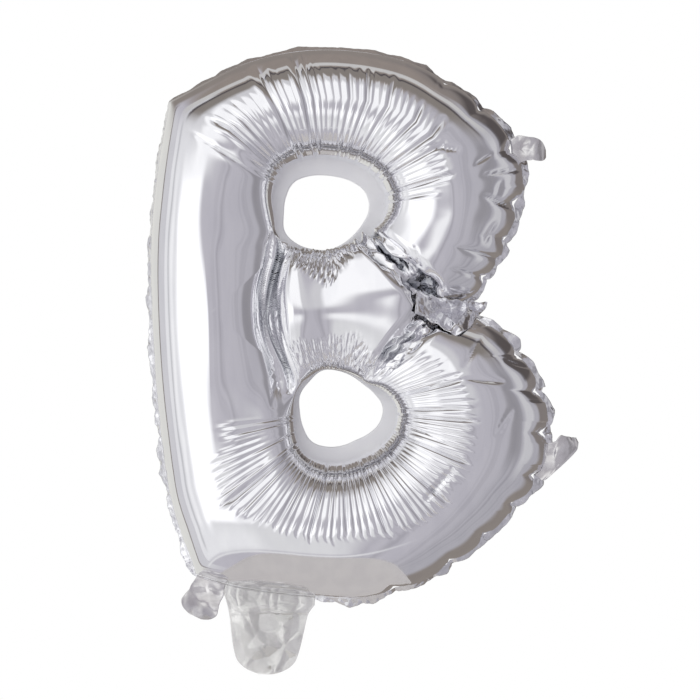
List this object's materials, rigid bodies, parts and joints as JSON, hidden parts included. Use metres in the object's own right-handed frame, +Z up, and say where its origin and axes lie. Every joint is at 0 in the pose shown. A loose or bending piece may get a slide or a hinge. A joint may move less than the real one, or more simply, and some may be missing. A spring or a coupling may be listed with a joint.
{
  "type": "letter foil balloon",
  "caption": "Inflated silver foil balloon shaped as a capital letter B, with welded margins round its outline and holes, hanging tabs and a filler neck.",
  "frame": {"origin": "middle of the gas space in the weld plane, where the air carries the filled balloon", "axes": "+X to the right of a reader who faces the front panel, +Y from the front panel to the back panel, +Z up the letter"},
  "size_m": [0.2672, 0.0851, 0.3898],
  "materials": {
    "foil": "mirror-bright metallised film",
    "weld_foil": "satin metallised film, heat sealed",
    "neck_film": "thinly metallised translucent film, creased",
    "valve_plastic": "clear soft film"
  },
  "bodies": {
    "root": {"front_panel": "foil", "back_panel": "foil", "outer_weld": "weld_foil", "upper_counter_weld": "weld_foil", "lower_counter_weld": "weld_foil", "tab_upper_right": "weld_foil", "tab_lower_right": "weld_foil", "tab_lower_left": "weld_foil", "neck_front_film": "neck_film", "neck_back_film": "neck_film", "valve_sleeve": "valve_plastic"}
  },
  "joints": []
}
